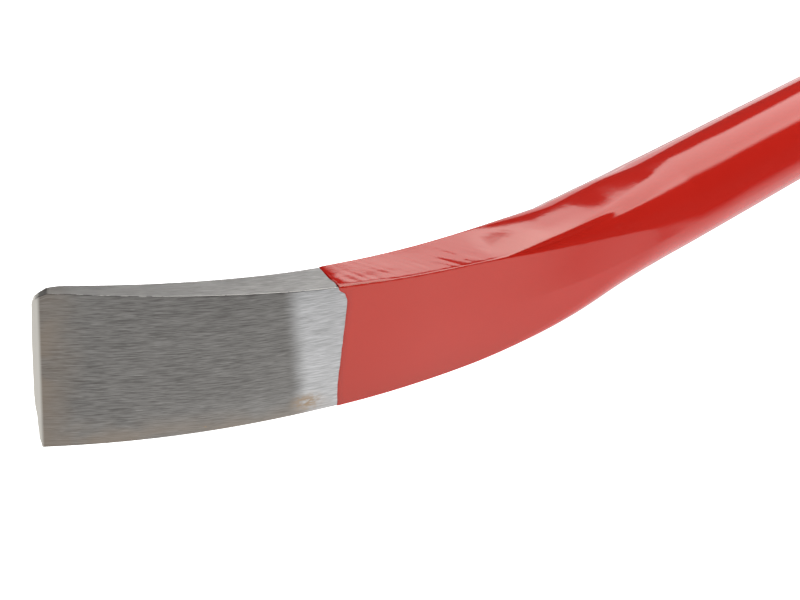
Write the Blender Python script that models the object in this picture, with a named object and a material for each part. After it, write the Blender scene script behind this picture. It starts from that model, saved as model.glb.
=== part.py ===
# Heavy steel crowbar: a round bar forged at one end into a flared, bent chisel and drawn out at the
# other into a blunt round point, with a coat of enamel over everything between the two bare ends.
#
# The bar lies on its side. Its shank runs along X, the chisel is at -X and bends towards +Y, and the
# edge of the chisel stands upright. Distances are measured from the edge along the centreline.

import math

import bmesh
import bpy
import numpy as np
from mathutils import Matrix, Vector

# Sizes in metres, the angle in degrees
BAR_LENGTH = 1.500            # along the centreline, edge to point
BAR_DIAMETER = 0.030          # round shank, as forged
BEND_RADIUS = 0.219           # centreline of the chisel end
BEND_ANGLE = 40.05            # between the shank and the edge

EDGE_WIDTH = 0.0447           # chisel at its edge
FLARE_WIDTH = 0.0364          # chisel where it starts to flare
FLARE_DISTANCE = 0.0661
NECK_DISTANCE = 0.1290        # where the chisel is first wider than the bar
WIDTH_BLEND = 0.020           # length over which the sides change slope

EDGE_THICKNESS = 0.0034       # of the wedge, before its bevels are ground
HEEL_THICKNESS = 0.0143       # at the end of the square-cornered part
HEEL_DISTANCE = 0.108
ROUND_DISTANCE = 0.1905       # where the section is fully round again
CORNER_RADIUS = 0.0005        # long corners of the chisel

OUTER_BEVEL_LENGTH = 0.0018   # on the convex face
OUTER_BEVEL_DEPTH = 0.0009
INNER_BEVEL_LENGTH = 0.0065   # on the hollow face
INNER_BEVEL_DEPTH = 0.0016

POINT_LENGTH = 0.110          # taper at the far end
POINT_DIAMETER = 0.008        # its blunt tip

GROUND_LENGTH = 0.074         # bare chisel
BARE_POINT_LENGTH = 0.060     # bare point
COAT_THICKNESS = 0.0005
COAT_PROUD = 0.0002           # step from the bare steel up to the coat
FIT_GAP = 0.0003              # between the coat and the steel under it

SECTION_POINTS = 16           # round each section, a multiple of 4
RING_STEP = 0.0055            # between sections where the shape changes

BAR_RADIUS = BAR_DIAMETER / 2
BEND_LENGTH = BEND_RADIUS * math.radians(BEND_ANGLE)
CORE_DEPTH = COAT_THICKNESS + FIT_GAP - COAT_PROUD
COAT_START = GROUND_LENGTH + FIT_GAP
COAT_END = BAR_LENGTH - BARE_POINT_LENGTH - FIT_GAP
SMALLEST_RADIUS = 0.0001      # of a corner that an offset would take below nothing
LARGEST_ROLL = 15.0           # degrees, that the bar is tried at on the ground
ROLL_TRIES = 301


def sign(value):
    return (value > 0.0) - (value < 0.0)


def smooth_step(value):
    value = min(max(value, 0.0), 1.0)
    return value * value * (3.0 - 2.0 * value)


def ramp(value, blend):
    """Nothing up to a corner, rising one for one beyond it, with the corner rounded over blend."""
    if value <= -blend / 2:
        return 0.0
    if value >= blend / 2:
        return value
    return (value + blend / 2) ** 2 / (2 * blend)


def centreline(distance):
    """Place on the centreline and the angle that the bar has turned there from the shank's line."""
    angle = max(BEND_LENGTH - distance, 0.0) / BEND_RADIUS
    along = max(distance - BEND_LENGTH, 0.0)
    place = Vector((along - BEND_RADIUS * math.sin(angle), BEND_RADIUS * (1.0 - math.cos(angle)), 0.0))
    return place, angle


def bar_radius(distance):
    """Round section's radius, smaller along the point."""
    drawn_out = max(1.0 - (BAR_LENGTH - distance) / POINT_LENGTH, 0.0)
    return BAR_RADIUS - (BAR_RADIUS - POINT_DIAMETER / 2) * drawn_out


def roundness(distance):
    """0 where the chisel is square-cornered, 1 where the bar is round."""
    return smooth_step((distance - HEEL_DISTANCE) / (ROUND_DISTANCE - HEEL_DISTANCE))


def thickness(distance):
    wedge = EDGE_THICKNESS + (HEEL_THICKNESS - EDGE_THICKNESS) * distance / HEEL_DISTANCE
    share = roundness(distance)
    return wedge * (1.0 - share) + 2.0 * bar_radius(distance) * share


def bevel_depth(distance, length, depth):
    return depth * max(1.0 - distance / length, 0.0)


def corner_radius(distance):
    share = roundness(distance)
    return CORNER_RADIUS * (1.0 - share) + bar_radius(distance) * share


def widening(x):
    """How far the side of the chisel stands out past the bar's radius, at a place along the shank's line.

    It depends on x alone and is straight past the flare, so the two narrow sides are flat there.
    """
    edge_x, flare_x, neck_x = (centreline(d)[0].x for d in (0.0, FLARE_DISTANCE, NECK_DISTANCE))
    neck_slope = (FLARE_WIDTH - BAR_DIAMETER) / 2 / (neck_x - flare_x)
    flare_slope = (EDGE_WIDTH - FLARE_WIDTH) / 2 / (flare_x - edge_x)
    past_neck = neck_slope * ramp(neck_x - x, WIDTH_BLEND)
    past_flare = (flare_slope - neck_slope) * ramp(flare_x - x, WIDTH_BLEND)
    return past_neck + past_flare


def section(distance, offset=0.0):
    """Points round the bar at a distance: a rectangle with rounded corners, which are all of it on the shank.

    Each point keeps the direction that it has on a plain round bar, so every section has as many points
    and sections of unlike shape join point to point. The offset moves the whole outline outwards. On the
    chisel the point in the middle of a side is sunk level with its neighbours, which keeps the side flat.
    The round bar is swollen until its facets, not its corners, are at its radius.
    """
    centre, angle = centreline(distance)
    outwards = Vector((-math.sin(angle), -math.cos(angle), 0.0))
    outer = thickness(distance) / 2 - bevel_depth(distance, OUTER_BEVEL_LENGTH, OUTER_BEVEL_DEPTH)
    inner = thickness(distance) / 2 - bevel_depth(distance, INNER_BEVEL_LENGTH, INNER_BEVEL_DEPTH)
    half_thickness = (outer + inner) / 2 + offset
    radius = min(max(corner_radius(distance) + offset, SMALLEST_RADIUS), half_thickness)
    sunk = radius * (1.0 - roundness(distance)) * (1.0 - math.cos(2 * math.pi / SECTION_POINTS))
    swell = 1.0 + roundness(distance) * (1.0 / math.cos(math.pi / SECTION_POINTS) - 1.0)
    points = []
    for index in range(SECTION_POINTS):
        turn = index * 2 * math.pi / SECTION_POINTS
        side, rise = round(math.cos(turn), 9), round(math.sin(turn), 9)
        across = (outer - inner) / 2 + (half_thickness - radius) * sign(side)
        across += (radius if rise else radius - sunk) * side
        point = centre + outwards * across * swell
        half_width = bar_radius(distance) + widening(point.x) + offset
        point.z = swell * ((half_width - radius) * sign(rise) + (radius if side else radius - sunk) * rise)
        points.append(point)
    return points


def spread(start, end):
    """Distances from start to end, at most a ring step apart, with both ends."""
    steps = max(math.ceil((end - start) / RING_STEP), 1)
    return [start + (end - start) * step / steps for step in range(steps + 1)]


def coated_distances(start, end):
    """Rings along the coated length: close together on the chisel, one long span on the plain shank."""
    taper_start = BAR_LENGTH - POINT_LENGTH
    rings = spread(start, max(ROUND_DISTANCE, BEND_LENGTH))
    return rings + [taper_start, end] if end > taper_start else rings + [end]


def loft(name, rings, closed, collection, material):
    """Skin over rings of equal count: capped at both ends, or joined last to first as a sleeve."""
    mesh = bpy.data.meshes.new(name)
    shape = bmesh.new()
    loops = [[shape.verts.new(point) for point in ring] for ring in rings]
    pairs = list(zip(loops, loops[1:]))
    if closed:
        pairs.append((loops[-1], loops[0]))
    else:
        shape.faces.new(loops[0])
        shape.faces.new(loops[-1])
    for first, second in pairs:
        for index in range(SECTION_POINTS):
            after = (index + 1) % SECTION_POINTS
            shape.faces.new((first[index], first[after], second[after], second[index]))
    bmesh.ops.recalc_face_normals(shape, faces=shape.faces)
    shape.to_mesh(mesh)
    shape.free()
    mesh.materials.append(material)
    mesh.shade_smooth()
    mesh.set_sharp_from_angle(angle=math.radians(30.0))
    part = bpy.data.objects.new(name, mesh)
    collection.objects.link(part)
    return part


def finish(name, colour, roughness, metallic):
    material = bpy.data.materials.new(name)
    material.use_nodes = True
    shader = material.node_tree.nodes["Principled BSDF"]
    shader.inputs["Base Color"].default_value = colour
    shader.inputs["Roughness"].default_value = roughness
    shader.inputs["Metallic"].default_value = metallic
    return material


def forged_bar(collection):
    """One forging, edge to point, its coated length sunk by the depth that the coat and its gap need."""
    bare_point = BAR_LENGTH - BARE_POINT_LENGTH
    chisel = [0.0, OUTER_BEVEL_LENGTH] + spread(INNER_BEVEL_LENGTH, GROUND_LENGTH)
    rings = [section(distance) for distance in chisel]
    rings += [section(distance, -CORE_DEPTH) for distance in coated_distances(GROUND_LENGTH, bare_point)]
    rings += [section(bare_point), section(BAR_LENGTH)]
    steel = finish("ground_steel", (0.33, 0.32, 0.30, 1.0), 0.35, 1.0)
    return loft("forged_bar", rings, False, collection, steel)


def paint_coat(collection):
    """The enamel, a sleeve open at both ends."""
    distances = coated_distances(COAT_START, COAT_END)
    outside = [section(distance, COAT_PROUD) for distance in distances]
    inside = [section(distance, COAT_PROUD - COAT_THICKNESS) for distance in reversed(distances)]
    enamel = finish("red_enamel", (0.50, 0.016, 0.010, 1.0), 0.12, 0.0)
    return loft("paint_coat", outside + inside, True, collection, enamel)


def mass_centre(parts):
    """Centre of the solids' volume, summed over tetrahedra from the origin to each triangle."""
    volume, moment = 0.0, Vector()
    for part in parts:
        part.data.calc_loop_triangles()
        for triangle in part.data.loop_triangles:
            a, b, c = (part.data.vertices[index].co for index in triangle.vertices)
            share = a.dot(b.cross(c)) / 6
            volume += share
            moment += share * (a + b + c) / 4
    return moment / volume


def resting(points, centre, roll):
    """How the rolled bar would lie on level ground: the mass centre's height over it, and the bar's dip.

    It touches the ground at two places, one on either side of the mass centre.
    """
    turn = np.array(Matrix.Rotation(roll, 3, "X"))
    points, centre = points @ turn.T, turn @ centre
    shank = points[points[:, 0] > centre[0]]
    chisel = points[points[:, 0] <= centre[0]]
    far = shank[np.argmin(shank[:, 2])]
    slopes = (far[2] - chisel[:, 2]) / (far[0] - chisel[:, 0])
    slope = slopes.max()
    return centre[2] - far[2] + slope * (far[0] - centre[0]), math.atan(slope)


def lie_down(parts):
    """Lay the bar on level ground as it balances, its origin on the ground under the middle of its box."""
    points = np.array([vertex.co for part in parts for vertex in part.data.vertices])
    centre = np.array(mass_centre(parts))
    rolls = np.linspace(0.0, math.radians(LARGEST_ROLL), ROLL_TRIES)
    roll = min(rolls, key=lambda tried: resting(points, centre, tried)[0])
    dip = resting(points, centre, roll)[1]
    pose = bpy.data.objects.new("lying_pose", None)
    bpy.context.scene.collection.objects.link(pose)
    pose.rotation_euler = (roll, dip, 0.0)
    for part in parts:
        part.parent = pose
    bpy.context.view_layer.update()
    placed = points @ np.array(pose.matrix_world.to_3x3()).T
    low, high = placed.min(axis=0), placed.max(axis=0)
    pose.location = (-(low[0] + high[0]) / 2, -(low[1] + high[1]) / 2, -low[2])


def main():
    for old in list(bpy.data.objects):
        bpy.data.objects.remove(old, do_unlink=True)
    collection = bpy.data.collections.new("crowbar")
    bpy.context.scene.collection.children.link(collection)
    lie_down([forged_bar(collection), paint_coat(collection)])


main()
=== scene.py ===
import math

import bmesh
import bpy
from mathutils import Euler, Matrix, Vector, noise


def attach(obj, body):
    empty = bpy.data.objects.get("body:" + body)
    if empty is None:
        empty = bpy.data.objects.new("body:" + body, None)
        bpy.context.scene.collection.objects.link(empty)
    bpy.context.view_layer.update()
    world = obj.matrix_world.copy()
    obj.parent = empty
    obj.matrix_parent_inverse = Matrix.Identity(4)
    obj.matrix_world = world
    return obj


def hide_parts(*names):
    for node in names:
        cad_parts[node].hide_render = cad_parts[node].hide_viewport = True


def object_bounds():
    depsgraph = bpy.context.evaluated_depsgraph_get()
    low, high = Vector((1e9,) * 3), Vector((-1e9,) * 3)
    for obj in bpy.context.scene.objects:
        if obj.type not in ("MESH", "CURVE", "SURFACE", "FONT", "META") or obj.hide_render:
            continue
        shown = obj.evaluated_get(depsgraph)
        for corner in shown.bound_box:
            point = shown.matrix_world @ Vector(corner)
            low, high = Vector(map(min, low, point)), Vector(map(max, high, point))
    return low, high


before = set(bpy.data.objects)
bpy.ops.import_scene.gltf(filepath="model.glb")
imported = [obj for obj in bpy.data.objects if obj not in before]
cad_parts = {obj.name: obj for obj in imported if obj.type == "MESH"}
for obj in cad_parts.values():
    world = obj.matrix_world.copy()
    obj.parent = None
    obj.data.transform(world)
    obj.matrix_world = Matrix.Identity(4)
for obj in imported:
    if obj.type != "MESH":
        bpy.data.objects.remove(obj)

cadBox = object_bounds()


# The bar's form, the same as that of its solids

forging = {                        # metres, and degrees for the bend
    "length": 1.500,               # along the centreline, edge to point
    "diameter": 0.030,
    "bendRadius": 0.219,
    "bendAngle": 40.05,
    "edgeWidth": 0.0447,
    "flareWidth": 0.0364,
    "flareDistance": 0.0661,
    "neckDistance": 0.1290,
    "widthBlend": 0.020,
    "edgeThickness": 0.0034,
    "heelThickness": 0.0143,
    "heelDistance": 0.108,
    "roundDistance": 0.1905,
    "corner": 0.0001,              # radius of the chisel's corners
    "outerBevelLength": 0.0018,    # on the convex face
    "outerBevelDepth": 0.0009,
    "innerBevelLength": 0.0065,    # on the hollow face
    "innerBevelDepth": 0.0016,
    "pointLength": 0.110,
    "pointDiameter": 0.008,
    "groundLength": 0.074,         # bare chisel
    "barePointLength": 0.060,
    # How the points of a ring are spread
    "cornerShare": 0.12,           # least share that lies on the corners
    "sideShare": 2.2,              # on the narrow sides, as closely as this against the wide faces
    "sideGrowth": 1.25,            # on the narrow sides, closer together by the corners
}
barRadius = forging["diameter"] / 2
bendLength = forging["bendRadius"] * math.radians(forging["bendAngle"])


def smoothStep(value):
    value = min(max(value, 0.0), 1.0)
    return value * value * (3.0 - 2.0 * value)


def ramp(value, blend):            # nothing up to a corner, then one for one, the corner rounded
    if abs(value) >= blend / 2:
        return max(value, 0.0)
    return (value + blend / 2) ** 2 / (2 * blend)


def centreline(distance):
    angle = max(bendLength - distance, 0.0) / forging["bendRadius"]
    along = max(distance - bendLength, 0.0)
    radius = forging["bendRadius"]
    return Vector((along - radius * math.sin(angle), radius * (1.0 - math.cos(angle)), 0.0)), angle


def roundRadius(distance):
    drawnOut = max(1.0 - (forging["length"] - distance) / forging["pointLength"], 0.0)
    return barRadius - (barRadius - forging["pointDiameter"] / 2) * drawnOut


def roundness(distance):           # 0 on the square-cornered chisel, 1 on the round bar
    heel = forging["heelDistance"]
    return smoothStep((distance - heel) / (forging["roundDistance"] - heel))


def thickness(distance, share=None):           # share is of roundness, where it isn't the usual one
    taper = (forging["heelThickness"] - forging["edgeThickness"]) / forging["heelDistance"]
    flat = forging["edgeThickness"] + taper * distance
    share = roundness(distance) if share is None else share
    return flat * (1.0 - share) + 2.0 * roundRadius(distance) * share


def bevelDepth(distance, side):
    return forging[side + "BevelDepth"] * max(1.0 - distance / forging[side + "BevelLength"], 0.0)


# The neck, where the hammer left the near upper corner sharper and the back is round sooner

sharperCorner = {"from": 0.117, "to": 0.205, "growth": 1.5}
roundBack = {"from": 0.112, "to": 0.162}
# The upper half of the near face leans inwards, and all of it is flatter
leaning = {"by": 0.0011, "from": 0.120, "to": 0.212, "rising": 0.35, "falling": 0.3}
flattening = {"by": 0.00040, "from": 0.150, "to": 0.225, "rising": 0.33, "falling": 0.4}


def backRoundness(distance):
    return smoothStep((distance - roundBack["from"]) / (roundBack["to"] - roundBack["from"]))


def inwards(distance, change):
    part = (distance - change["from"]) / (change["to"] - change["from"])
    return change["by"] * smoothStep(part / change["rising"]) * smoothStep((1.0 - part) / change["falling"])


def between(stations, place):      # through the stations, smoothly
    if place <= stations[0][0]:
        return stations[0][1]
    for (start, low), (end, high) in zip(stations, stations[1:]):
        if place <= end:
            return low + (high - low) * smoothStep((place - start) / (end - start))
    return stations[-1][1]


def cornerRadius(distance, quadrant):          # quadrants go round from the near upper one
    share = backRoundness(distance) if quadrant in (1, 2) else roundness(distance)
    if quadrant == 0:
        length = sharperCorner["to"] - sharperCorner["from"]
        share = min(max((distance - sharperCorner["from"]) / length, 0.0), 1.0) ** sharperCorner["growth"]
    return forging["corner"] * (1.0 - share) + roundRadius(distance) * share


edgeX = centreline(0.0)[0].x
flareX = centreline(forging["flareDistance"])[0].x
neckX = centreline(forging["neckDistance"])[0].x
neckSlope = (forging["flareWidth"] - forging["diameter"]) / 2 / (neckX - flareX)
flareSlope = (forging["edgeWidth"] - forging["flareWidth"]) / 2 / (flareX - edgeX)


def widening(x):                   # of each side past the bar's radius
    blend = forging["widthBlend"]
    return neckSlope * ramp(neckX - x, blend) + (flareSlope - neckSlope) * ramp(flareX - x, blend)


def skin(distance, angle, proud=0.0, closing=False):
    # A point of the surface, its outward direction, and its place on the bar as if unbent
    centre, bend = centreline(distance)
    outwards = Vector((-math.sin(bend), -math.cos(bend), 0.0))
    outer = thickness(distance) / 2 - bevelDepth(distance, "outer") - inwards(distance, flattening)
    inner = thickness(distance, backRoundness(distance)) / 2 - bevelDepth(distance, "inner")
    halfThickness = (outer + inner) / 2 + proud
    halfWidth = roundRadius(distance) + widening(centre.x) + proud
    turn = (angle / (math.pi / 2)) % 4.0
    corner = cornerRadius(distance, int(turn)) + proud
    corner = min(max(corner, forging["corner"]), halfThickness)
    faceFlat, sideFlat, arc = halfWidth - corner, halfThickness - corner, corner * math.pi / 2
    arcPart = max(arc / (arc + faceFlat + sideFlat), forging["cornerShare"])
    facePart = (1.0 - arcPart) * faceFlat / max(faceFlat + forging["sideShare"] * sideFlat, 1e-9)
    part = turn % 1.0 if int(turn) % 2 == 0 else 1.0 - turn % 1.0
    if part < facePart:            # on the wide face
        way, across, rise, lean = 0.0, halfThickness, faceFlat * part / facePart, part / facePart
    elif part <= facePart + arcPart:
        way = (part - facePart) / arcPart * math.pi / 2
        across, rise, lean = sideFlat + corner * math.cos(way), faceFlat + corner * math.sin(way), 1.0
    else:                          # on the narrow side
        way, rise, lean = math.pi / 2, halfWidth, 1.0
        onward = (part - facePart - arcPart) / (1.0 - facePart - arcPart)
        across = sideFlat * (1.0 - onward ** forging["sideGrowth"])
    acrossSign = 1.0 if turn < 1.0 or turn >= 3.0 else -1.0
    riseSign = 1.0 if turn < 2.0 else -1.0
    if turn < 1.0:
        across -= inwards(distance, leaning) * rise / halfWidth * across / halfThickness
    across = (0.0 if closing else acrossSign * across) + (outer - inner) / 2
    point = centre + outwards * across
    rise = riseSign * (rise + lean * (widening(point.x) - widening(centre.x)))
    point.z = rise
    outward = outwards * (acrossSign * math.cos(way)) + Vector((0.0, 0.0, riseSign * math.sin(way)))
    return point, outward, Vector((distance, across, rise))


# How the bar lies, as it balances

lying = {
    "roll": 11.25,                 # degrees
    "dip": 0.0544,
    "endDepth": 0.0005,            # metres of the point that show where the bar's end lies
}


def lyingPose():
    turn = Euler((math.radians(lying["roll"]), math.radians(lying["dip"]), 0.0)).to_matrix()
    points = [vertex.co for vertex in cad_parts["forged_bar"].data.vertices]
    farEnd = [point for point in points if point.x > cadBox[1].x - lying["endDepth"]]
    lows = Vector([min(point[axis] for point in farEnd) for axis in range(3)])
    highs = Vector([max(point[axis] for point in farEnd) for axis in range(3)])
    start = (lows + highs) / 2 - turn @ Vector((forging["length"] - bendLength, 0.0, 0.0))
    return Matrix.Translation(start) @ turn.to_4x4()


lyingMatrix = lyingPose()
bendStart = lyingMatrix.translation
print("the bar lies with its bend starting at", tuple(round(value, 4) for value in bendStart))


# Wear of the bare steel, in metres

wear = {
    # Height on the chisel, and how far the edge is worn back there
    "edge": [(-0.0225, 0.0022), (-0.0212, 0.0018), (-0.0183, 0.0011), (-0.0138, 0.0008), (-0.0094, 0.0003),
             (-0.0067, 0.00015), (0.0077, 0.0001), (0.0190, 0.0003), (0.0205, 0.0006), (0.0225, 0.0019)],
    "edgeReach": 0.014,
    "nickDepth": 0.00003,
    "nickShares": (0.2, 0.9, 0.8),             # of the depth: everywhere, in short nicks and in long ones
    "nickLength": 0.0016,
    "longNicks": 5,                # times as long
    "upperSeed": 3.0,
    "lowerSeed": 11.0,
    "grindDepth": 0.000012,
    "grindWidth": 0.0022,
    "grindLength": 0.045,
    "cornerCut": 0.0021,           # off the upper corner of the edge
    "cutReach": 0.0038,            # along the side
    "sideCut": 0.0004,             # and less, further along
    "sideReach": 0.0090,
    "cutHeight": 0.0045,           # of the wide face that leans with it
}


def cornerNearness(outward):       # 0 on the sides, 1 in the middle of a rounded corner
    rise = outward.z * outward.z
    return 4.0 * rise * (1.0 - rise)


def nick(distance, outward, seed):
    place = distance / wear["nickLength"]
    short = noise.noise(Vector((place, seed, 0.0)))
    long = noise.noise(Vector((place / wear["longNicks"], seed, 7.0)))
    least, inShort, inLong = wear["nickShares"]
    depth = least + inShort * max(short, 0.0) + inLong * max(long, 0.0)
    return -wear["nickDepth"] * cornerNearness(outward) * depth


def cornerCut(distance, rise):
    share = min(max(1.0 - (forging["edgeWidth"] / 2 - rise) / wear["cutHeight"], 0.0), 1.0)
    corner = wear["cornerCut"] * max(1.0 - distance / wear["cutReach"], 0.0)
    return share * (corner + wear["sideCut"] * max(1.0 - distance / wear["sideReach"], 0.0))


def grinding(place):
    along, across, rise = place
    wide = wear["grindWidth"]
    return wear["grindDepth"] * noise.noise(Vector((along / wear["grindLength"], across / wide, rise / wide)))


# Rings side by side as a flat sheet, which the forging then rolls up and shapes

mergeDistance = 0.000002           # metres


def steps(start, end, step):
    count = max(math.ceil((end - start) / step), 1)
    return [start + (end - start) * index / count for index in range(count)]


def forge(name, rings, settings, place, finish, node):
    # place gives each point of a ring its forged place, its unbent one and a number for the finish
    sheet = bmesh.new()
    bmesh.ops.create_grid(sheet, x_segments=len(rings) - 1, y_segments=settings["segments"], size=1.0)
    unbent = sheet.verts.layers.float_vector.new("unbent")
    rim = sheet.verts.layers.float.new("rim")
    for point in sheet.verts:
        ring = rings[round((point.co.x + 1.0) / 2.0 * (len(rings) - 1))]
        where, flat, edge = place(ring, (point.co.y + 1.0) * math.pi)
        point.co = lyingMatrix @ where
        point[unbent] = flat
        point[rim] = edge
    bmesh.ops.remove_doubles(sheet, verts=sheet.verts[:], dist=mergeDistance)
    bmesh.ops.recalc_face_normals(sheet, faces=sheet.faces[:])
    mesh = bpy.data.meshes.new(name)
    sheet.to_mesh(mesh)
    sheet.free()
    mesh.shade_smooth()
    mesh.set_sharp_from_angle(angle=math.radians(settings["sharpAngle"]))
    piece = bpy.data.objects.new(name, mesh)
    bpy.context.scene.collection.objects.link(piece)
    mesh.materials.append(finish)
    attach(piece, "root")
    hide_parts(node)
    print(name, "has", len(mesh.polygons), "faces")


# Shader graphs written as sums

class Signal:                                       # a socket that takes part in sums
    def __init__(self, finish, socket):
        self.finish = finish
        self.socket = socket

    def sum(self, operation, first, second):
        return self.finish.node("Math", {"operation": operation}, {0: first, 1: second})

    def __add__(self, other):
        return self.sum("ADD", self, other)

    def __radd__(self, other):
        return self.sum("ADD", other, self)

    def __sub__(self, other):
        return self.sum("SUBTRACT", self, other)

    def __rsub__(self, other):
        return self.sum("SUBTRACT", other, self)

    def __mul__(self, other):
        return self.sum("MULTIPLY", self, other)

    def __rmul__(self, other):
        return self.sum("MULTIPLY", other, self)


class Finish:
    def __init__(self, name, tree=None):
        self.tree = tree
        if tree is None:
            self.material = bpy.data.materials.new(name)
            self.material.use_nodes = True
            self.tree = self.material.node_tree
        self.tree.nodes.clear()

    def node(self, kind, settings=None, sockets=None, output=0):
        made = self.tree.nodes.new("ShaderNode" + kind)
        for name, value in (settings or {}).items():
            if name == "stops":
                self.setStops(made.color_ramp, value)
            else:
                setattr(made, name, value)
        for name, value in (sockets or {}).items():
            if isinstance(value, Signal):
                self.tree.links.new(value.socket, made.inputs[name])
            else:
                made.inputs[name].default_value = value
        return Signal(self, made.outputs[output])

    def setStops(self, colourRamp, stops):
        while len(colourRamp.elements) < len(stops):
            colourRamp.elements.new(1.0)
        for element, (place, colour) in zip(colourRamp.elements, stops):
            element.position = place
            element.color = colour

    def curve(self, value, stops):                 # straight between pairs of place and height
        greys = [(place, (height, height, height, 1.0)) for place, height in stops]
        return self.node("ValToRGB", {"stops": greys}, {0: value})

    def mix(self, share, first, second):
        return self.node("Mix", {"data_type": "RGBA"}, {0: share, 6: first, 7: second}, 2)

    def larger(self, first, second):
        return self.node("Math", {"operation": "MAXIMUM"}, {0: first, 1: second})

    def stretched(self, vector, scale):
        return self.node("VectorMath", {"operation": "MULTIPLY"}, {0: vector, 1: scale})

    def noise(self, vector, scale, detail, roughness):
        sockets = {"Vector": self.stretched(vector, scale), "Scale": 1.0}
        sockets.update({"Detail": detail, "Roughness": roughness})
        return self.node("TexNoise", {"noise_dimensions": "3D"}, sockets)

    def between(self, value, low, high):           # 0 up to low, 1 from high, smooth between
        sockets = {"Value": value, "From Min": low, "From Max": high}
        return self.node("MapRange", {"interpolation_type": "SMOOTHSTEP"}, sockets)

    def part(self, value, low, high, share):       # 0 up to low, a share from high
        return self.between(value, low, high) * share

    def spot(self, vector, centre, size, strength):            # full at a centre, 0 a size away from it
        offset = self.node("VectorMath", {"operation": "SUBTRACT"}, {0: vector, 1: centre})
        scaled = self.node("VectorMath", {"operation": "DIVIDE"}, {0: offset, 1: size})
        length = self.node("VectorMath", {"operation": "LENGTH"}, {0: scaled}, "Value")
        return (1.0 - self.between(length, 0.0, 1.0)) * strength

    def shade(self, sockets):
        shader = self.node("BsdfPrincipled", None, sockets, "BSDF")
        output = self.tree.nodes.new("ShaderNodeOutputMaterial")
        self.tree.links.new(shader.socket, output.inputs["Surface"])
        return self.material


# Ground steel

steelLook = {
    "dark": (0.090, 0.086, 0.081, 1.0),
    "light": (0.290, 0.282, 0.270, 1.0),
    # The pale grinding lines before the enamel are a painted reflection
    "paleDark": (0.32, 0.32, 0.32, 1.0),
    "pale": (0.68, 0.68, 0.69, 1.0),
    "brown": (0.27, 0.215, 0.165, 1.0),
    "rust": (0.32, 0.22, 0.13, 1.0),
    "side": (0.75, 0.73, 0.71, 1.0),
    "freshAndPaintedGleam": (0.80, 0.77, 0.71, 1.0),      # painted highlight on the tip's bevel, and the pale metal of the nicked corners
    "roughness": 0.38,
    "streakRoughness": 0.10,
    "wander": 0.010,               # metres that the boundaries stray
    # Patterns: repeats per metre along and across, detail and roughness
    "lines": ((110.0, 3900.0, 3900.0), 2.0, 0.6),
    "hair": ((220.0, 2600.0, 2600.0), 1.0, 0.5),
    "cloud": ((60.0, 90.0, 90.0), 3.0, 0.5),
    "specks": ((700.0, 1500.0, 1500.0), 2.0, 0.5),
    # Grinding lines: where a pattern or a place starts and stops to show, and its share
    "linesPart": (0.22, 0.78, 0.8),
    "hairPart": (0.62, 0.72, 0.3),
    "cloudShare": 0.22,
    "lowerPart": (0.008, 0.020, 0.18),         # lighter below the middle
    "heelPart": (0.030, 0.060, 0.06),          # and away from the edge
    # The pale part, a painted reflection, in metres from the edge in the middle of the wide face
    "paleFrom": 0.0612,
    "paleTo": 0.0668,
    "paleWander": 0.3,
    "paleLean": 0.11,              # nearer the edge higher up
    "paleCorner": (0.1, 0.9, 0.9),
    # Stains, and the centre, size and strength of the rust
    "tipStain": (0.002, 0.013),
    "tipWander": 2.0,
    "tipLeast": 0.25,
    "tipPatches": (0.40, 0.60, 0.35),
    "lowStain": (-0.021, -0.012),
    "lowPatches": (0.35, 0.60),
    "lowShare": 0.6,
    "rustStain": ((0.0672, 0.0050, -0.0150), (0.0060, 0.0100, 0.0040), 0.9),
    "rustDot": ((0.0412, 0.0050, -0.0186), (0.0007, 0.0100, 0.0006), 1.5),
    "rustPatches": (0.85, 1.15),
    # The narrow sides, the tip's bevel with its painted highlight, and the nicks along the corners
    "sidePart": (0.8, 1.0),
    "sideShare": 0.24,
    "sideFading": (0.020, 0.075, 0.13),
    "bevelGleamPart": (0.0014, 0.0024),
    "nickPart": (0.05, 0.4),
    "nickPatches": (0.50, 0.64),
    "nickGrowth": (0.012, 0.045, 0.20),
    "nickShare": 0.7,
    "nickDullness": 0.9,
    "relief": 0.3,
    "reliefDepth": 0.00003,
}


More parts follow.
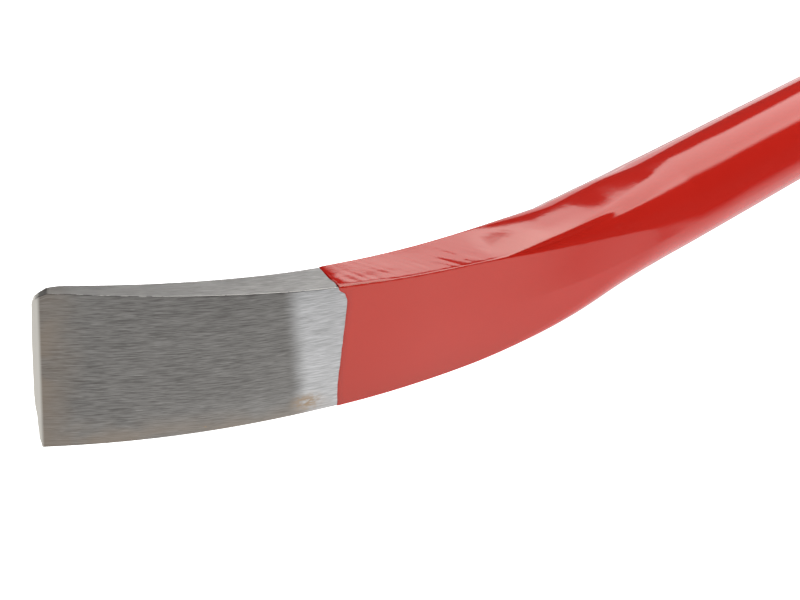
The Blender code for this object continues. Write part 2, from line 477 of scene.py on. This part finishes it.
def groundSteel():
    look = steelLook
    steel = Finish("ground_steel_finish")
    place = steel.node("Attribute", {"attribute_name": "unbent"}, None, "Vector")
    turned = steel.node("Attribute", {"attribute_name": "rim"}, None, "Fac")   # 1 on the narrow sides
    corner = turned * (1.0 - turned) * 4.0
    along = steel.node("SeparateXYZ", None, {0: place})
    rise = Signal(steel, along.socket.node.outputs[2])
    lines = steel.noise(place, *look["lines"])
    hair = steel.noise(place, *look["hair"])
    cloud = steel.noise(place, *look["cloud"])
    specks = steel.noise(place, *look["specks"])
    wander = (cloud - 0.5) * look["wander"]

    # Grinding lines, dark on most of the chisel, and pale before the enamel where a reflection is painted
    streak = steel.part(lines, *look["linesPart"]) + steel.part(hair, *look["hairPart"])
    streak = streak + (cloud - 0.5) * look["cloudShare"]
    depth = streak + steel.part(0.0 - rise + wander, *look["lowerPart"])
    grey = steel.mix(depth + steel.part(along, *look["heelPart"]), look["dark"], look["light"])
    paintedReflectionLines = steel.mix(streak, look["paleDark"], look["pale"])
    boundary = along + wander * look["paleWander"] + rise * look["paleLean"]
    pale = steel.between(boundary, look["paleFrom"], look["paleTo"])
    colour = steel.mix(pale * (1.0 - steel.part(turned, *look["paleCorner"])), grey, paintedReflectionLines)

    # Stains at the tip and along the bottom, and rust
    tip = 1.0 - steel.between(along + wander * look["tipWander"], *look["tipStain"])
    tip = tip * (look["tipLeast"] + steel.part(cloud, *look["tipPatches"]))
    low = 1.0 - steel.between(rise + wander, *look["lowStain"])
    low = low * steel.between(cloud, *look["lowPatches"]) * look["lowShare"]
    colour = steel.mix(steel.larger(tip, low), colour, look["brown"])
    rust = steel.larger(steel.spot(place, *look["rustStain"]), steel.spot(place, *look["rustDot"]))
    rust = rust * steel.between(cloud + specks, *look["rustPatches"])
    colour = steel.mix(rust, colour, look["rust"])

    # The narrow sides, the tip's bevel with its painted highlight, and the nicks along the corners
    narrow = look["sideShare"] - steel.part(along, *look["sideFading"])
    colour = steel.mix(steel.between(turned, *look["sidePart"]) * narrow, colour, look["side"])
    # Painted highlight: the tip's bevel is mixed towards the pale colour
    bevelGleam = 1.0 - steel.between(along, *look["bevelGleamPart"])
    patches = steel.between(specks + steel.part(along, *look["nickGrowth"]), *look["nickPatches"])
    nicks = steel.between(corner, *look["nickPart"]) * patches
    colour = steel.mix(steel.larger(bevelGleam, nicks * look["nickShare"]), colour, look["freshAndPaintedGleam"])

    relief = {"Strength": look["relief"], "Distance": look["reliefDepth"], "Height": lines * 0.5 + hair * 0.5}
    return steel.shade({
        "Base Color": colour,
        "Metallic": 1.0 - nicks * look["nickDullness"],
        "Roughness": look["roughness"] + (streak - 0.5) * look["streakRoughness"],
        "Normal": steel.node("Bump", None, relief, "Normal"),
    })


chiselRings = {
    "segments": 256,
    "sharpAngle": 32.0,            # degrees
    "firstStep": 0.0003,
    "step": 0.0005,                # on the chisel
    "underlap": 0.006,             # fine rings go on so far under the enamel
    "coreStep": 0.020,             # under the enamel
    "pointStep": 0.0015,
    "endRound": 0.0006,            # at the point's flat end
    "sunk": 0.0006,                # depth under the enamel, and how far past its edge that starts
    "sunkFrom": 0.0006,
    "sunkOver": 0.002,
}


def steelRings():
    # Distance, depth under the nominal skin, and whether the ring closes the end
    under = forging["groundLength"] + chiselRings["underlap"]
    bare = forging["length"] - forging["barePointLength"] - chiselRings["underlap"]
    end = forging["length"]
    soft = chiselRings["endRound"]
    distances = steps(chiselRings["firstStep"], under, chiselRings["step"])
    distances += steps(under, bare, chiselRings["coreStep"])
    distances += steps(bare, end - soft, chiselRings["pointStep"])
    rings = [(0.0, 0.0, True), (0.0, 0.0, False)]
    rings += [(distance, 0.0, False) for distance in distances]
    rings += [(end - soft, 0.0, False), (end - soft / 3, soft / 3, False)]
    rings += [(end, soft, False), (end, soft, True)]
    return rings


paintEdge = {
    "wander": 0.0002,
    "ripple": 3.0,                 # millimetres
    "at": 0.075,                   # distance at which the girth is taken
    # Millimetres round the chisel from the middle of its wide face, upwards, and from its edge
    "stations": [(-30.0, 74.5), (-23.0, 74.5), (-17.5, 75.4), (-11.8, 75.2), (-2.4, 75.5), (10.0, 76.0),
                 (13.6, 76.2), (15.4, 75.5), (17.2, 73.7), (18.0, 73.5), (20.2, 73.6), (23.0, 73.2),
                 (30.0, 73.2)],
}


def girth(angle):                  # millimetres round the chisel, 0 in the middle of the wide face
    _, outward, flat = skin(paintEdge["at"], angle)
    sideways = abs(outward.z) > 0.999
    past = thickness(paintEdge["at"]) / 2 - flat.y if sideways or flat.y < 0 else 0.0
    return 1000.0 * (flat.z + math.copysign(past, flat.z))


def paintStart(angle):             # where the enamel begins, all round
    ripple = noise.noise(Vector((girth(angle) / paintEdge["ripple"], 0.0, 3.0)))
    return between(paintEdge["stations"], girth(angle)) / 1000.0 + paintEdge["wander"] * ripple


def sunkShare(distance, angle):    # 0 on the bare steel, 1 under the enamel
    if distance < forging["length"] / 2:
        past = distance - paintStart(angle)
    else:
        past = forging["length"] - forging["barePointLength"] - distance
    return smoothStep((past - chiselRings["sunkFrom"]) / chiselRings["sunkOver"])


def steelPiece():
    def place(ring, angle):
        distance, depth, closing = ring
        under = sunkShare(distance, angle)
        proud = -chiselRings["sunk"] * under - depth
        if distance < wear["edgeReach"]:
            rise = skin(distance, angle, proud, closing)[2].z
            distance += between(wear["edge"], rise) * (1.0 - distance / wear["edgeReach"]) ** 2
        where, outward, flat = skin(distance, angle, proud, closing)
        seed = wear["upperSeed"] if flat.z > 0 else wear["lowerSeed"]
        worn = 0.0 if closing else nick(distance, outward, seed) + grinding(flat)
        where.z -= cornerCut(distance, flat.z)
        return where + outward * worn * (1.0 - under), flat, outward.z * outward.z

    forge("forgedSteel", steelRings(), chiselRings, place, groundSteel(), "forged_bar")


# Red enamel

enamelLook = {
    "red": (0.404, 0.0108, 0.0056, 1.0),
    "deepRed": (0.35, 0.007, 0.004, 1.0),      # darker, along its edge
    "sheen": (0.95, 0.97, 0.83, 1.0),
    "roughness": 0.085,
    "cloudRoughness": 0.04,
    "refraction": 1.5,
    "edgeWidth": 0.0022,
    "edgeShare": 0.8,              # of the deep red
    "cloudShare": 0.3,
    "relief": 0.25,
    "reliefDepth": 0.00006,
    # Patterns: repeats per metre along and across, detail and roughness
    "cloud": ((70.0, 110.0, 110.0), 3.0, 0.5),
    "peel": ((420.0, 700.0, 700.0), 2.0, 0.5),
}


def redEnamel():
    look = enamelLook
    enamel = Finish("red_enamel_finish")
    place = enamel.node("Attribute", {"attribute_name": "unbent"}, None, "Vector")
    rim = enamel.node("Attribute", {"attribute_name": "rim"}, None, "Fac")     # metres from its edge
    cloud = enamel.noise(place, *look["cloud"])
    peel = enamel.noise(place, *look["peel"])
    nearEdge = 1.0 - enamel.between(rim, 0.0, look["edgeWidth"])
    share = nearEdge * look["edgeShare"] + (cloud - 0.5) * look["cloudShare"]
    relief = {"Strength": look["relief"], "Distance": look["reliefDepth"], "Height": peel}
    return enamel.shade({
        "Base Color": enamel.mix(share, look["red"], look["deepRed"]),
        "Roughness": look["roughness"] + (cloud - 0.5) * look["cloudRoughness"],
        "Normal": enamel.node("Bump", None, relief, "Normal"),
        "IOR": look["refraction"],
        "Specular Tint": look["sheen"],
    })


coatRings = {
    "segments": 300,
    "sharpAngle": 40.0,            # degrees
    # From a distance on, the spacing of the rings
    "spans": [(0.0765, 0.0007), (0.172, 0.0012), (0.205, 0.003), (0.290, 0.05)],
    "innerSpans": [(0.086, 0.006), (0.205, 0.05)],
    "taperStep": 0.006,
    "proud": 0.0002,
    "thickness": 0.0005,
    "settling": 0.03,              # length over which the rings stop following the edge's waves
    # Distance from its two edges and height over the steel, with a bead at the front
    "frontEdge": [(0.0008, 0.00001), (0.0, 0.00001), (0.0, 0.00006), (0.00010, 0.00014), (0.0003, 0.000207),
                  (0.0006, 0.00023), (0.001, 0.0002185), (0.0015, 0.00021)],
    "backEdge": [(0.001, 0.0002), (0.0003, 0.00016), (0.0, 0.00008), (0.0, 0.00002)],
    "backStart": 0.002,            # where the rings of the back edge take over
    "innerEdge": 0.0026,           # how far inside both edges the hollow starts
}


def spans(starts, end):            # distances past the enamel's front edge
    bounds = [start for start, _ in starts[1:]] + [end]
    front = forging["groundLength"]
    found = [steps(start - front, bound - front, step) for (start, step), bound in zip(starts, bounds)]
    return [distance for span in found for distance in span]


def coatStations():
    # How far past the enamel's front edge or before its back edge, height over the steel, and which edge
    length = forging["length"] - forging["barePointLength"] - forging["groundLength"]
    taper = forging["length"] - forging["pointLength"]
    proud = coatRings["proud"]
    inside = proud - coatRings["thickness"]
    hollow = (coatRings["innerEdge"], inside)
    plain = spans(coatRings["spans"], taper)
    plain += steps(taper - forging["groundLength"], length - coatRings["backStart"], coatRings["taperStep"])
    front = [hollow] + coatRings["frontEdge"] + [(distance, proud) for distance in plain]
    back = coatRings["backEdge"] + [hollow]
    inner = reversed(spans(coatRings["innerSpans"], taper))
    rings = [(distance, height, "front") for distance, height in front]
    rings += [(distance, height, "back") for distance, height in back]
    rings += [(distance, inside, "front") for distance in inner]
    return rings


forged = {                         # dents and wrinkles of the forging under the enamel, in metres
    "lump": 0.00010,
    "lumpSize": (0.018, 0.012, 0.012),
    "settled": 0.6,                # share of a lump that all of it lies lower
    "plainBar": (0.24, 0.04),      # where the lumps end, and over what length
    "backLump": 0.00010,           # along the back of the neck
    "backLumpLength": 0.0065,
    "backWidth": 0.006,
    "dent": (0.1653, 0.0112),      # distance and height
    "dentSize": (0.0016, 0.0010),
    "dentDepth": 0.00025,
    # The narrow upper side: where its parts start, rise over, end and fall over
    "chiselPart": (0.0733, 0.0022, 0.118, 0.022),
    "neckPart": (0.118, 0.022, 0.155, 0.028),
    "neckEndPart": (0.150, 0.025, 0.175, 0.020),
    "liftPart": (0.112, 0.020, 0.150, 0.020),
    "upper": (0.8, 0.2),           # outward rise from which a point is on it, and over how much
    "tilt": 0.042,                 # of the chisel, rise for run
    "tiltAbout": -0.002,
    "neckTilt": 0.085,             # and where the neck ends
    "neckTiltAbout": 0.003,
    "crown": 0.0013,               # where the neck starts
    "crownPlace": 0.0010,          # its middle
    "farCrown": 0.0004,            # and where the neck ends
    "farCrownPlace": 0.0015,
    "crownWidth": 0.011,
    "lift": 0.00045,
    # Wrinkles and folds: their length and width, where they end, and where the near half starts
    "wrinkle": 0.000034,
    "wrinkleSize": (0.0013, 0.006),
    "wrinkleSlant": 0.7,
    "farWrinkles": 0.3,            # share of them on the far half
    "fold": 0.000035,
    "foldSize": (0.009, 0.004),
    "wrinkleEnd": (0.115, 0.045),
    "nearHalf": (-0.003, 0.006),
    "lip": 0.00036,                # of enamel along the near upper corner, where it starts
    "farLip": 0.00006,             # and further on
    "lipWidth": 0.00044,
    "lipPlace": 0.00066,           # from the corner
    "lipEnd": (0.0845, 0.005),
    "farLipEnd": (0.118, 0.012),
    "dots": (0.7, 0.9),            # of the far lip: least height, and how much it varies
    "dotLength": 0.0011,
}


def rising(place, start, length):  # 0 up to the start, 1 from a length past it
    return smoothStep((place - start) / length)


def window(place, part):           # 1 in a part of the length, 0 outside
    return rising(place, *part[:2]) * (1.0 - rising(place, *part[2:]))


def bulge(place, middle):
    return max(1.0 - ((place - middle) / forged["crownWidth"]) ** 2, 0.0)


def wrinkles(along, across):       # more of them on the near half
    near = rising(across, *forged["nearHalf"])
    length, width = forged["wrinkleSize"]
    slanted = along - across * forged["wrinkleSlant"]
    fine = noise.noise(Vector((slanted / length, across / width, 5.0)))
    length, width = forged["foldSize"]
    broad = noise.noise(Vector((along / length, across / width, 9.0)))
    height = forged["wrinkle"] * (forged["farWrinkles"] + near) * fine + forged["fold"] * near * broad
    return (1.0 - rising(along, *forged["wrinkleEnd"])) * height


def enamelLip(along, across):
    place = (thickness(along) / 2 - across - forged["lipPlace"]) / forged["lipWidth"]
    least, varying = forged["dots"]
    dots = least + varying * noise.noise(Vector((along / forged["dotLength"], 0.0, 13.0)))
    full = 1.0 - rising(along, *forged["lipEnd"])
    fading = 1.0 - rising(along, *forged["farLipEnd"])
    height = forged["lip"] * full + forged["farLip"] * dots * (1.0 - full) * fading
    return height * math.exp(-place * place)


def upperSide(along, across):
    neck = window(along, forged["neckPart"])
    neckEnd = window(along, forged["neckEndPart"])
    tilt = -forged["tilt"] * (across - forged["tiltAbout"]) * window(along, forged["chiselPart"])
    tilt -= forged["neckTilt"] * (across - forged["neckTiltAbout"]) * neckEnd
    crown = forged["crown"] * neck * bulge(across, forged["crownPlace"])
    crown += forged["farCrown"] * neckEnd * bulge(across, forged["farCrownPlace"])
    crown += forged["lift"] * window(along, forged["liftPart"])
    return wrinkles(along, across) + tilt + crown + enamelLip(along, across)


def hammered(flat, outward):
    along, across, rise = flat
    rough = 1.0 - rising(along, *forged["plainBar"])
    lumps = noise.noise(Vector([value / size for value, size in zip(flat, forged["lumpSize"])]))
    height = forged["lump"] * (rough * lumps - forged["settled"])
    if outward.z > -0.5 and across < 0.0:
        back = window(along, forged["neckPart"]) * smoothStep(-across / forged["backWidth"])
        lumps = noise.noise(Vector((along / forged["backLumpLength"], 0.0, 2.0)))
        height += forged["backLump"] * back * lumps
    if across > 0.0 and rise > 0.0:
        centre, size = forged["dent"], forged["dentSize"]
        away = ((along - centre[0]) / size[0]) ** 2 + ((rise - centre[1]) / size[1]) ** 2
        height -= forged["dentDepth"] * math.exp(-away)
    if outward.z > 0.5:
        height += rising(outward.z, *forged["upper"]) * upperSide(along, across)
    return height


def coatPiece():
    rings = coatStations()
    backEdge = forging["length"] - forging["barePointLength"]

    def place(ring, angle):
        past, height, edge = ring
        if edge == "front":
            blend = 1.0 - smoothStep(past / coatRings["settling"])
            distance = forging["groundLength"] + past + (paintStart(angle) - forging["groundLength"]) * blend
        else:
            distance = backEdge - past
        where, outward, flat = skin(distance, angle, height)
        return where + outward * hammered(flat, outward), flat, past

    forge("enamelCoat", rings + rings[:1], coatRings, place, redEnamel(), "paint_coat")


steelPiece()
coatPiece()


# The table, the lights and the camera

studio = {
    "tableSize": 8.0,
    "tableGlow": 1.40,
    "tableColour": (0.6, 0.6, 0.6, 1.0),
    "tableRoughness": 0.9,
    "worldGrey": 0.06,
    "roll": 6.2,                   # degrees of the photographed bar; lights and camera turn with it
}

photoMatrix = lyingMatrix @ Matrix.Rotation(math.radians(-studio["roll"]), 4, "X")


def glowingTable():
    surface = Finish("pale_table")
    return surface.shade({
        "Base Color": studio["tableColour"],
        "Roughness": studio["tableRoughness"],
        "Emission Color": (1.0, 1.0, 1.0, 1.0),
        "Emission Strength": studio["tableGlow"],
    })


def level(value):                  # the same all along
    return [(0.0, value), (1.0, value)]


def panel(name, centre, rotation, size, glow, hidden, along, low, high, soft, across):
    # A rectangular light, which the hidden kinds of ray don't meet. As pairs of share of a side and value
    # come its brightness along one side, the places of its two edges, and its brightness along the other
    # side. Soft is the blur of the two edges
    light = bpy.data.lights.new(name, "AREA")
    light.shape = "RECTANGLE"
    light.size, light.size_y = size
    light.energy = glow * math.pi * size[0] * size[1]
    light.use_nodes = True
    shades = Finish(name, light.node_tree)
    place = shades.node("NewGeometry", None, None, "Parametric")
    share = shades.node("SeparateXYZ", None, {0: place})
    otherShare = Signal(shades, share.socket.node.outputs[1])
    lowEdge = shades.between(otherShare - shades.curve(share, low), -soft[0], soft[0])
    highEdge = 1.0 - shades.between(otherShare - shades.curve(share, high), -soft[1], soft[1])
    strength = shades.curve(share, along) * lowEdge * highEdge * shades.curve(otherShare, across)
    emission = shades.node("Emission", None, {"Strength": strength})
    output = light.node_tree.nodes.new("ShaderNodeOutputLight")
    light.node_tree.links.new(emission.socket, output.inputs[0])
    lamp = bpy.data.objects.new(name, light)
    lamp.matrix_world = photoMatrix @ Matrix.Translation(centre) @ Euler(rotation).to_matrix().to_4x4()
    for kind in hidden:
        setattr(lamp, "visible_" + kind, False)
    bpy.context.scene.collection.objects.link(lamp)


def makeTable():
    ground = bmesh.new()
    bmesh.ops.create_grid(ground, x_segments=1, y_segments=1, size=studio["tableSize"] / 2)
    mesh = bpy.data.meshes.new("table")
    ground.to_mesh(mesh)
    ground.free()
    table = bpy.data.objects.new("table", mesh)
    bpy.context.scene.collection.objects.link(table)
    mesh.materials.append(glowingTable())
    table.visible_glossy = False


# Places and sizes in metres, from the start of the bend

facingDown = (0.0, 0.0, 0.0)
facingUp = (math.pi, 0.0, 0.0)
facingFront = (-math.pi / 2, 0.0, 0.0)
unseen = ["camera", "diffuse"]     # seen in the gloss alone

panels = {
    "softbox": {                   # from x -0.05 to 2.35 and from y -0.78 to 0.82
        "centre": (1.15, 0.02, 0.8),
        "rotation": facingDown,
        "size": (2.4, 1.60),
        "glow": 4.1,
        "hidden": ["camera"],
        "along": [(0.0, 1.0), (0.354, 1.0), (0.395, 0.82), (0.43, 0.66), (0.47, 0.62), (0.53, 0.55),
                  (1.0, 0.59)],
        "low": [(0.0, 0.20), (0.34, 0.22), (0.47, 0.13), (1.0, 0.12)],
        "high": [(0.0, 0.81), (0.33, 0.81), (0.37, 0.95), (0.50, 0.95), (0.545, 0.81), (0.57, 0.78),
                 (0.62, 0.78), (0.68, 0.81), (1.0, 0.81)],
        "soft": (0.07, 0.04),
        "across": [(0.0, 1.3), (0.22, 1.3), (0.36, 1.10), (0.70, 1.10), (0.78, 0.90), (0.88, 0.90),
                   (0.94, 1.0), (1.0, 1.0)],
    },
    "tableNear": {
        "centre": (-0.25, -0.305, -0.28),
        "rotation": facingUp,
        "size": (1.5, 0.31),
        "glow": 1.6,
        "hidden": unseen,
        "along": [(0.0, 1.0), (0.72, 1.0), (0.80, 0.78), (0.887, 0.52), (0.967, 0.45), (1.0, 0.4)],
        "low": level(-1.0),
        "high": level(0.94),
        "soft": (0.01, 0.06),
        "across": level(1.0),
    },
    "tableFar": {
        "centre": (1.2, -0.305, -0.28),
        "rotation": facingUp,
        "size": (1.4, 0.31),
        "glow": 0.6,
        "hidden": unseen,
        "along": level(1.0),
        "low": level(-1.0),
        "high": level(0.5),
        "soft": (0.01, 0.5),
        "across": level(1.0),
    },
    "tableUnder": {
        "centre": (1.85, 1.425, -0.28),
        "rotation": facingUp,
        "size": (6.3, 3.15),
        "glow": 0.75,
        "hidden": unseen,
        "along": level(1.0),
        "low": level(-1.0),
        "high": level(2.0),
        "soft": (0.01, 0.01),
        "across": level(1.0),
    },
    "backGleam": {                 # low on the far side, and higher in one place
        "centre": (2.0, 2.1, 0.61),
        "rotation": facingFront,
        "size": (6.0, 1.78),
        "glow": 1.0,
        "hidden": unseen,
        "along": level(1.0),
        "low": [(0.0, 0.573), (0.53, 0.573), (0.555, -0.1), (0.625, -0.1), (0.66, 0.573), (1.0, 0.573)],
        "high": level(2.0),
        "soft": (0.03, 0.01),
        "across": level(1.0),
    },
}


def makeLights():
    for name, settings in panels.items():
        panel(name, **settings)
    world = bpy.data.worlds.new("room")
    world.use_nodes = True
    grey = studio["worldGrey"]
    world.node_tree.nodes["Background"].inputs["Color"].default_value = (grey, grey, grey, 1.0)
    bpy.context.scene.world = world


view = {
    "lens": 76.5,                  # millimetres
    "sensor": 36.0,
    "nearest": 0.01,               # metres
    "place": (-0.3497, -0.2516, 0.2064),       # metres from the start of the bend
    "turn": 48.52,                 # degrees
    "tilt": 27.08,
}


def makeCamera():
    camera = bpy.data.objects.new("camera", bpy.data.cameras.new("camera"))
    camera.data.lens = view["lens"]
    camera.data.sensor_width = view["sensor"]
    camera.data.clip_start = view["nearest"]
    turn = Euler((math.radians(90.0 - view["tilt"]), 0.0, -math.radians(view["turn"]))).to_matrix().to_4x4()
    camera.matrix_world = photoMatrix @ Matrix.Translation(view["place"]) @ turn
    bpy.context.scene.collection.objects.link(camera)
    bpy.context.scene.camera = camera


makeTable()
makeLights()
makeCamera()
bpy.context.scene.view_settings.view_transform = "Standard"
print("studio ready")
